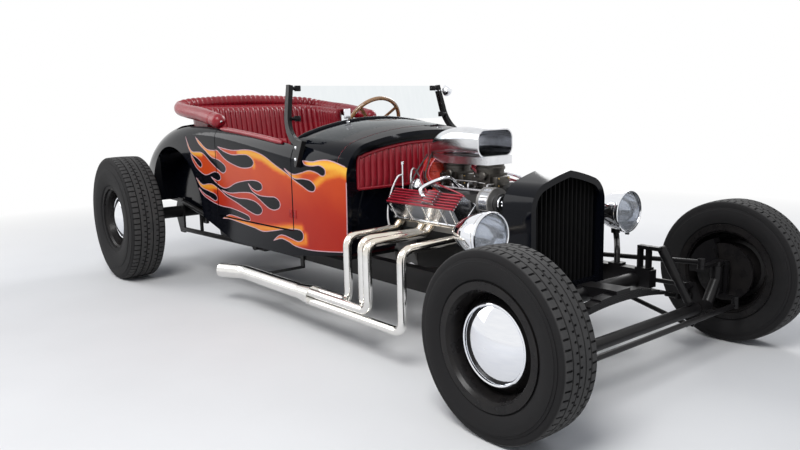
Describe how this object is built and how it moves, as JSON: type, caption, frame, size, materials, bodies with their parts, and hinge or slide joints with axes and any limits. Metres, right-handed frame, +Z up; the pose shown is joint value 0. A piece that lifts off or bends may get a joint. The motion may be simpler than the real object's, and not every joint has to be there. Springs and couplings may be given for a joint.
{
  "type": "street rod roadster",
  "caption": "Open two-seat street rod with an exposed V engine, side headers, steered tube axle, opening doors and deck lid.",
  "frame": {"origin": "on the ground, midway along the overall length and width", "axes": "+X towards the nose, +Y towards the left side, +Z up"},
  "size_m": [3.8948, 1.8336, 1.1705],
  "materials": {
    "body_paint": "gloss",
    "frame_paint": "gloss",
    "black_steel": "gloss",
    "block_paint": "satin",
    "chrome_trim": "polished",
    "polished_alloy": "polished",
    "gearbox_alloy": "cast",
    "tyre_rubber": "matte",
    "hose_rubber": "satin",
    "core_black": "satin",
    "upholstery": "satin",
    "carpet": "satin",
    "wheel_rim": "gloss",
    "screen_glass": "clear",
    "lamp_glass": "fluted",
    "red_plastic": "gloss",
    "red_lens": "gloss"
  },
  "bodies": {
    "chassis": {"frame_rail_right": "frame_paint", "frame_rail_left": "frame_paint", "crossmembers": "frame_paint", "front_axle": "black_steel", "front_spring": "black_steel", "radius_rods": "black_steel", "shock_absorbers": "chrome_trim", "rear_axle": "black_steel", "steering_column": "chrome_trim", "radiator_shell": "body_paint", "radiator_core": "core_black", "headlamp_bowls": "chrome_trim", "headlamp_lenses": "lamp_glass", "headlamp_stands": "frame_paint", "engine_block": "block_paint", "valve_covers": "polished_alloy", "intake_manifold": "polished_alloy", "intake_scoop": "polished_alloy", "distributor": "red_plastic", "engine_drive": "chrome_trim", "radiator_hose": "hose_rubber", "exhaust_pipes": "chrome_trim", "gearbox": "gearbox_alloy", "driveshaft": "frame_paint", "cowl": "body_paint", "body_shell": "body_paint", "firewall_panel": "upholstery", "floor_pan": "carpet", "seat": "upholstery", "padded_roll": "upholstery", "windscreen_posts": "body_paint", "windscreen_glass": "screen_glass", "dash_panel": "body_paint", "tail_lamps": "red_lens"},
    "knuckle_right": {"knuckle_right": "black_steel"},
    "knuckle_left": {"knuckle_left": "black_steel"},
    "tie_rod": {"tie_rod": "black_steel"},
    "drag_link": {"drag_link": "black_steel"},
    "pitman_arm": {"pitman_arm": "black_steel"},
    "steering_wheel": {"steering_wheel": "wheel_rim"},
    "door_right": {"door_right": "body_paint"},
    "door_left": {"door_left": "body_paint"},
    "deck_lid": {"deck_lid": "body_paint"},
    "wheel_front_right": {"wheel_front_right": "black_steel", "tyre_front_right": "tyre_rubber", "cap_front_right": "chrome_trim"},
    "wheel_front_left": {"wheel_front_left": "black_steel", "tyre_front_left": "tyre_rubber", "cap_front_left": "chrome_trim"},
    "wheel_rear_right": {"wheel_rear_right": "black_steel", "tyre_rear_right": "tyre_rubber", "cap_rear_right": "chrome_trim"},
    "wheel_rear_left": {"wheel_rear_left": "black_steel", "tyre_rear_left": "tyre_rubber", "cap_rear_left": "chrome_trim"}
  },
  "joints": [
    {"name": "steer_right", "type": "hinge", "parent": "chassis", "child": "knuckle_right", "pos_m": [1.6365, -0.6, 0.293], "axis": [0, 0, 1], "range_deg": [-28, 28]},
    {"name": "steer_left", "type": "hinge", "parent": "chassis", "child": "knuckle_left", "pos_m": [1.6365, 0.6, 0.293], "axis": [0, 0, 1], "range_deg": [-28, 28]},
    {"name": "tie_rod_swing", "type": "hinge", "parent": "knuckle_right", "child": "tie_rod", "pos_m": [1.7245, -0.6, 0.206], "axis": [0, 0, 1], "range_deg": [-28, 28]},
    {"name": "drag_link_swing", "type": "hinge", "parent": "knuckle_left", "child": "drag_link", "pos_m": [1.6365, 0.47, 0.37], "axis": [0, 0, 1], "range_deg": [-28, 28]},
    {"name": "pitman_swing", "type": "hinge", "parent": "chassis", "child": "pitman_arm", "pos_m": [0.6405, 0.445, 0.42], "axis": [0, 1, 0], "range_deg": [-33.1, 33.1]},
    {"name": "steering_wheel_turn", "type": "hinge", "parent": "chassis", "child": "steering_wheel", "pos_m": [-0.3585, 0.28, 0.935], "axis": [-0.8829, 0, 0.4695], "range_deg": [-336, 336]},
    {"name": "front_right_spin", "type": "hinge", "parent": "knuckle_right", "child": "wheel_front_right", "pos_m": [1.6365, -0.74, 0.311], "axis": [0, 1, 0], "continuous": true},
    {"name": "front_left_spin", "type": "hinge", "parent": "knuckle_left", "child": "wheel_front_left", "pos_m": [1.6365, 0.74, 0.311], "axis": [0, 1, 0], "continuous": true},
    {"name": "rear_right_spin", "type": "hinge", "parent": "chassis", "child": "wheel_rear_right", "pos_m": [-1.5585, -0.807, 0.389], "axis": [0, 1, 0], "continuous": true},
    {"name": "rear_left_spin", "type": "hinge", "parent": "chassis", "child": "wheel_rear_left", "pos_m": [-1.5585, 0.807, 0.389], "axis": [0, 1, 0], "continuous": true},
    {"name": "door_right_hinge", "type": "hinge", "parent": "chassis", "child": "door_right", "pos_m": [0.0875, -0.554, 0.65], "axis": [0, 0, 1], "range_deg": [0, 70]},
    {"name": "door_left_hinge", "type": "hinge", "parent": "chassis", "child": "door_left", "pos_m": [0.0875, 0.554, 0.65], "axis": [0, 0, -1], "range_deg": [0, 70]},
    {"name": "deck_lid_hinge", "type": "hinge", "parent": "chassis", "child": "deck_lid", "pos_m": [-1.4515, 0, 0.964], "axis": [0, 1, 0], "range_deg": [0, 60]}
  ],
  "couplings": [
    {"joint": "steer_left", "follows": "steer_right", "ratio": 1},
    {"joint": "tie_rod_swing", "follows": "steer_right", "ratio": -1},
    {"joint": "drag_link_swing", "follows": "steer_right", "ratio": -1},
    {"joint": "pitman_swing", "follows": "steer_right", "ratio": -1.18},
    {"joint": "steering_wheel_turn", "follows": "steer_right", "ratio": 12}
  ]
}
